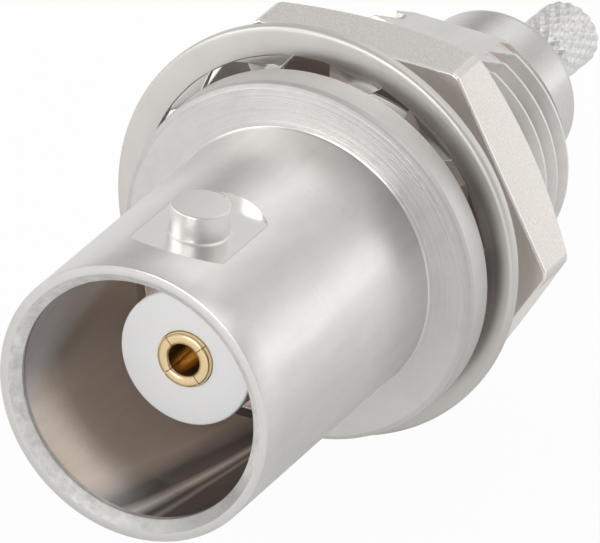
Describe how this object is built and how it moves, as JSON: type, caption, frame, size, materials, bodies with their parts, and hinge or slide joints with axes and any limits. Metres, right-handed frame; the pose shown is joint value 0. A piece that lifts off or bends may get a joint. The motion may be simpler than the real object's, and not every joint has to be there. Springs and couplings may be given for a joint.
{
  "type": "bnc connector",
  "caption": "Straight bulkhead coaxial jack with a bayonet barrel, white insulator, gold socket, panel nut, toothed lock washer and knurled crimp post.",
  "frame": {"origin": "on the connector's axis at the flange's rear face, the face that seats on the panel", "axes": "+Y along the axis towards the cable, so the mating end faces -Y; +Z through the upper bayonet lug and the thread's flat"},
  "size_m": [0.0149, 0.0312, 0.0145],
  "materials": {
    "plated_shell": "satin white plating over turned brass",
    "plated_nut": "matte, slightly speckled plating",
    "plated_washer": "satin plating over stamped spring metal",
    "insulator": "smooth white fluoropolymer",
    "gold_contact": "gold plating"
  },
  "bodies": {
    "shell": {"outer_body": "plated_shell", "front_insulator": "insulator", "rear_insulator": "insulator", "centre_contact": "gold_contact", "crimp_body": "plated_shell"},
    "washer": {"lock_washer": "plated_washer"},
    "nut": {"hex_nut": "plated_nut"}
  },
  "joints": [
    {"name": "washer_slide", "type": "slide", "parent": "shell", "child": "washer", "axis": [0, 1, 0], "range_m": [-0.00015, 0.005]},
    {"name": "nut_turn", "type": "hinge", "parent": "washer", "child": "nut", "pos_m": [0, 0.0034, 0], "axis": [0, 1, 0], "range_deg": [-67, 2272]}
  ],
  "couplings": [
    {"joint": "nut_turn", "follows": "washer_slide", "rad_per_m": 7915.8}
  ]
}
